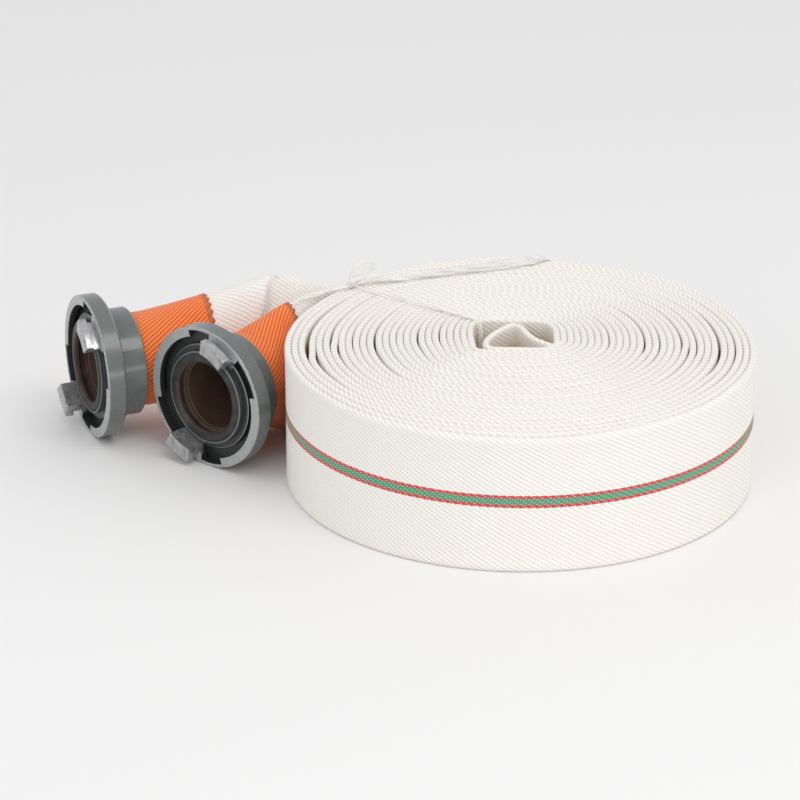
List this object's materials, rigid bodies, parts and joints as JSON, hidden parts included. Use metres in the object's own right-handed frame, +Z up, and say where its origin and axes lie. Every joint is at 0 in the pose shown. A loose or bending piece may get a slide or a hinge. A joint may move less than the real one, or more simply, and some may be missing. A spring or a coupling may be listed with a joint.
{
  "type": "rolled fire hose",
  "caption": "Flat fire hose rolled up on edge from its middle, with a twist-lock claw coupling on each end, orange protective sleeves and a film tie.",
  "frame": {"origin": "centre of the roll, on the floor that it lies on", "axes": "+Z up along the roll's axis; +X along the longest extent, away from the couplings; +Y to the back, away from the side that shows the coloured line"},
  "size_m": [0.533, 0.3672, 0.1111],
  "materials": {
    "jacket": "woven polyester twill, off-white, with a green and red line",
    "sleeve": "coarse woven, orange",
    "lining": "smooth, matt",
    "gasket": "matt black",
    "ring_paint": "grey enamel on cast aluminium, worn on the claws",
    "seat_metal": "cast, machined on the nose",
    "spring_steel": "dull",
    "tie_wire": "galvanised",
    "film": "clear packing film"
  },
  "bodies": {
    "root": {"hose_roll": "jacket", "film_tie": "film", "hose_end_a": "jacket", "hose_neck_a": "jacket", "lining_a": "lining", "sleeve_a": "sleeve", "seal_seat_a": "seat_metal", "gasket_a": "gasket", "snap_ring_a": "spring_steel", "binding_wire_a": "tie_wire", "hose_end_b": "jacket", "hose_neck_b": "jacket", "lining_b": "lining", "sleeve_b": "sleeve", "seal_seat_b": "seat_metal", "gasket_b": "gasket", "snap_ring_b": "spring_steel", "binding_wire_b": "tie_wire"},
    "claw_ring_a": {"claw_ring_a": "ring_paint"},
    "claw_ring_b": {"claw_ring_b": "ring_paint"}
  },
  "joints": [
    {"name": "ring_turn_a", "type": "hinge", "parent": "root", "child": "claw_ring_a", "pos_m": [-0.3276, 0.0726, 0.0555], "axis": [-0.9205, -0.3907, 0], "continuous": true},
    {"name": "ring_turn_b", "type": "hinge", "parent": "root", "child": "claw_ring_b", "pos_m": [-0.2334, 0.0112, 0.0555], "axis": [-0.6561, -0.7547, 0], "continuous": true}
  ]
}
